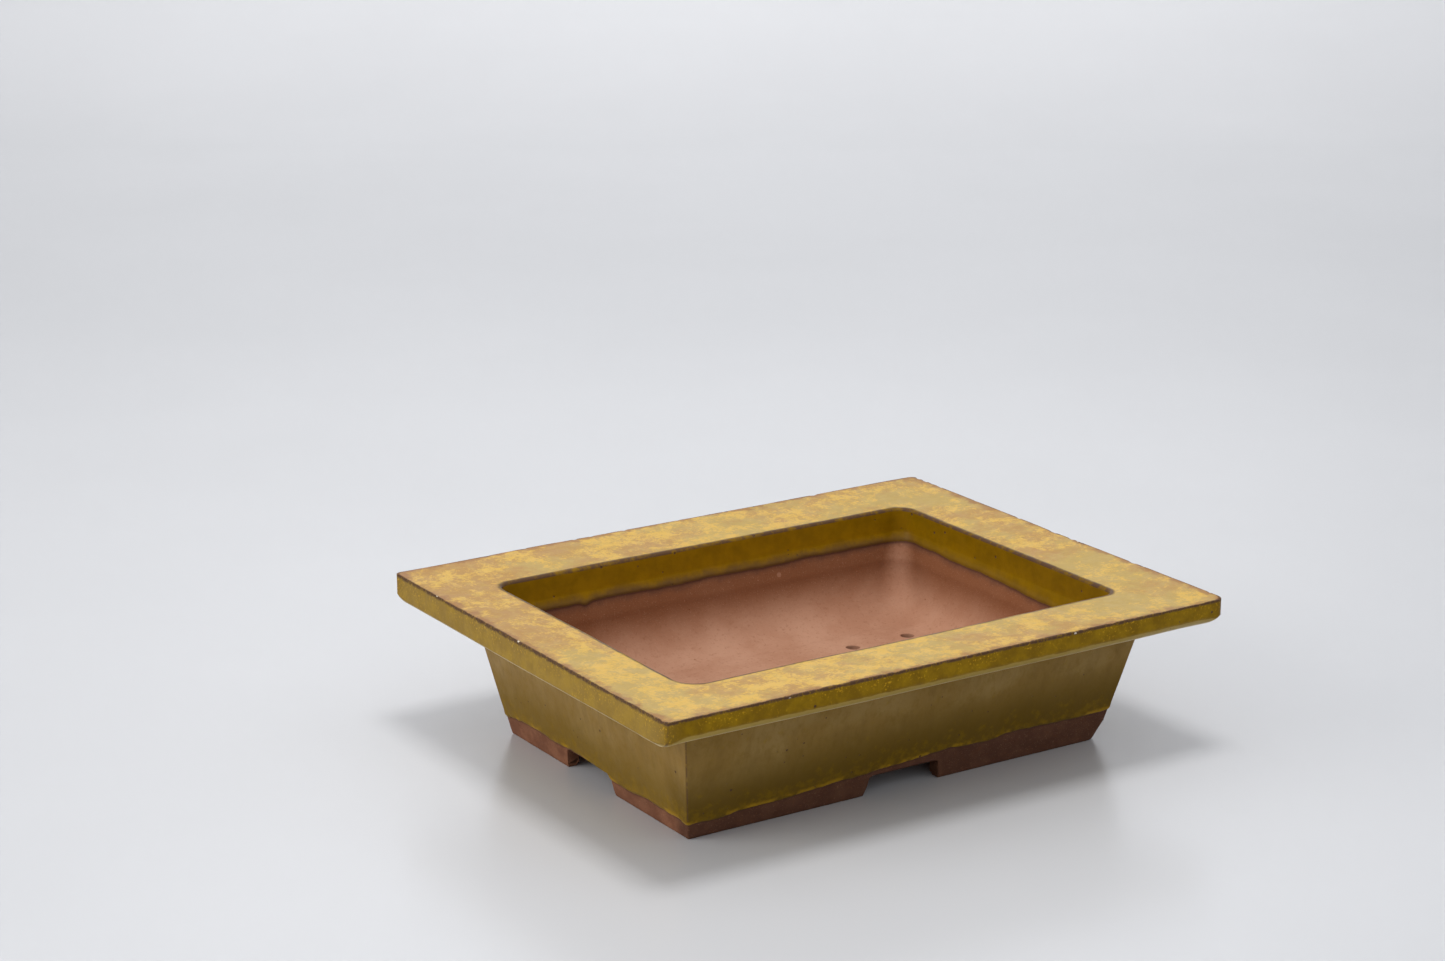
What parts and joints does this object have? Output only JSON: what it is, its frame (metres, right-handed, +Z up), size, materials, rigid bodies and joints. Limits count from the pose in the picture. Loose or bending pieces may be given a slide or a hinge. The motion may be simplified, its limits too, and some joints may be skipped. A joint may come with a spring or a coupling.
{
  "type": "bonsai pot",
  "caption": "Shallow rectangular ceramic bonsai pot with flared walls, a broad flat overhanging rim, corner feet, drain holes and tie-wire holes.",
  "frame": {"origin": "on the ground under the middle of the pot", "axes": "+X along the long side, +Y towards the back, +Z up"},
  "size_m": [0.25, 0.2, 0.062],
  "materials": {
    "rim_glaze": "satin",
    "wall_glaze": "satin",
    "bare_clay": "matte"
  },
  "bodies": {
    "root": {"rim_front": "rim_glaze", "rim_back": "rim_glaze", "rim_left": "rim_glaze", "rim_right": "rim_glaze", "wall_front": "wall_glaze", "wall_back": "wall_glaze", "wall_left": "wall_glaze", "wall_right": "wall_glaze", "floor_slab": "bare_clay", "seam_coil_front": "bare_clay", "seam_coil_back": "bare_clay", "seam_coil_left": "bare_clay", "seam_coil_right": "bare_clay", "foot_front_left": "bare_clay", "foot_front_right": "bare_clay", "foot_back_left": "bare_clay", "foot_back_right": "bare_clay"}
  },
  "joints": []
}
